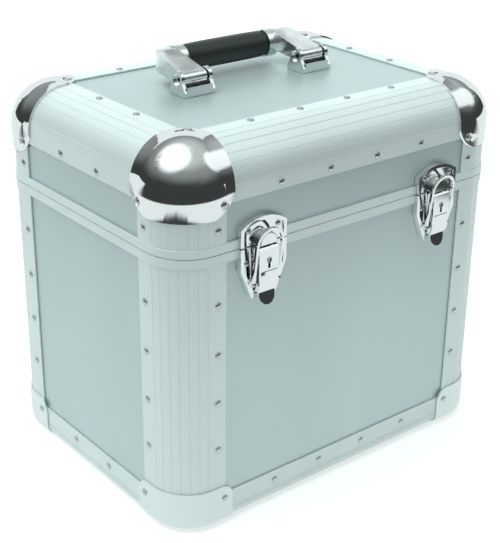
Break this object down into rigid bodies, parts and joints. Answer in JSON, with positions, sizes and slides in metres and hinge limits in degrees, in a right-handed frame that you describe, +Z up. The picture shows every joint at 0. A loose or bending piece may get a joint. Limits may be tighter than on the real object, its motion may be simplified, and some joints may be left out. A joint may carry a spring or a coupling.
{
  "type": "record carrying case",
  "caption": "Aluminium carrying case for records: hinged lid, ribbed rounded edge profiles, ball corners, key latches and a folding carry handle.",
  "frame": {"origin": "on the floor plane, under the bounding box's centre", "axes": "+Z up, -Y towards the front with the latches, +X to the right seen from the front"},
  "size_m": [0.3842, 0.3008, 0.3832],
  "materials": {
    "panel_aluminium": "satin, fine drawn lines",
    "profile_aluminium": "satin anodised, ribbed",
    "chrome": "polished",
    "steel": "plated",
    "rubber": "matt black",
    "grip_plastic": "soft black",
    "foam": "soft black lining"
  },
  "bodies": {
    "base": {"base_corner_back_left": "panel_aluminium", "base_corner_back_right": "panel_aluminium", "base_corner_front_left": "panel_aluminium", "base_corner_front_right": "panel_aluminium", "base_lining": "foam", "base_panel_back": "panel_aluminium", "base_panel_bottom": "panel_aluminium", "base_panel_front": "panel_aluminium", "base_panel_left": "panel_aluminium", "base_panel_right": "panel_aluminium", "base_post_back_left": "profile_aluminium", "base_post_back_right": "profile_aluminium", "base_post_front_left": "profile_aluminium", "base_post_front_right": "profile_aluminium", "base_rim": "profile_aluminium", "bottom_profile_back": "profile_aluminium", "bottom_profile_front": "profile_aluminium", "bottom_profile_left": "profile_aluminium", "bottom_profile_right": "profile_aluminium", "hinge_base_leaf_left": "steel", "hinge_base_leaf_right": "steel", "latch_base_left": "chrome", "latch_base_right": "chrome", "rubber_foot_back_left": "rubber", "rubber_foot_back_right": "rubber", "rubber_foot_front_left": "rubber", "rubber_foot_front_right": "rubber"},
    "lid": {"handle_bracket_left": "chrome", "handle_bracket_right": "chrome", "handle_pin_left": "steel", "handle_pin_right": "steel", "hinge_lid_leaf_left": "steel", "hinge_lid_leaf_right": "steel", "latch_catch_left": "chrome", "latch_catch_right": "chrome", "lid_corner_back_left": "chrome", "lid_corner_back_right": "chrome", "lid_corner_front_left": "chrome", "lid_corner_front_right": "chrome", "lid_edge_back": "profile_aluminium", "lid_edge_front": "profile_aluminium", "lid_edge_left": "profile_aluminium", "lid_edge_right": "profile_aluminium", "lid_lining": "foam", "lid_panel_back": "panel_aluminium", "lid_panel_front": "panel_aluminium", "lid_panel_left": "panel_aluminium", "lid_panel_right": "panel_aluminium", "lid_panel_top": "panel_aluminium", "lid_rim_and_posts": "profile_aluminium"},
    "handle": {"handle_arm_left": "chrome", "handle_arm_right": "chrome", "handle_grip": "grip_plastic"},
    "latch_lever_left": {"latch_lever_left": "chrome"},
    "latch_bail_left": {"latch_bail_left": "chrome"},
    "latch_lock_left": {"latch_lock_left": "steel"},
    "latch_lever_right": {"latch_lever_right": "chrome"},
    "latch_bail_right": {"latch_bail_right": "chrome"},
    "latch_lock_right": {"latch_lock_right": "steel"}
  },
  "joints": [
    {"name": "lid_hinge", "type": "hinge", "parent": "base", "child": "lid", "pos_m": [0, 0.14725, 0.2642], "axis": [-1, 0, 0], "range_deg": [0, 100]},
    {"name": "handle_swing", "type": "hinge", "parent": "lid", "child": "handle", "pos_m": [0, 0.00325, 0.366], "axis": [1, 0, 0], "range_deg": [0, 95]},
    {"name": "latch_left_lever_swing", "type": "hinge", "parent": "base", "child": "latch_lever_left", "pos_m": [-0.1019, -0.14345, 0.26], "axis": [-1, 0, 0], "range_deg": [0, 90]},
    {"name": "latch_left_bail_swing", "type": "hinge", "parent": "latch_lever_left", "child": "latch_bail_left", "pos_m": [-0.1019, -0.14285, 0.2312], "axis": [-1, 0, 0], "range_deg": [-112.5, 0]},
    {"name": "latch_left_lock_turn", "type": "hinge", "parent": "latch_lever_left", "child": "latch_lock_left", "pos_m": [-0.1019, -0.13625, 0.2517], "axis": [0, -1, 0], "range_deg": [0, 90]},
    {"name": "latch_right_lever_swing", "type": "hinge", "parent": "base", "child": "latch_lever_right", "pos_m": [0.1019, -0.14345, 0.26], "axis": [-1, 0, 0], "range_deg": [0, 90]},
    {"name": "latch_right_bail_swing", "type": "hinge", "parent": "latch_lever_right", "child": "latch_bail_right", "pos_m": [0.1019, -0.14285, 0.2312], "axis": [-1, 0, 0], "range_deg": [-112.5, 0]},
    {"name": "latch_right_lock_turn", "type": "hinge", "parent": "latch_lever_right", "child": "latch_lock_right", "pos_m": [0.1019, -0.13625, 0.2517], "axis": [0, -1, 0], "range_deg": [0, 90]}
  ],
  "couplings": [
    {"joint": "latch_left_bail_swing", "follows": "latch_left_lever_swing", "ratio": -1.25},
    {"joint": "latch_right_bail_swing", "follows": "latch_right_lever_swing", "ratio": -1.25}
  ]
}
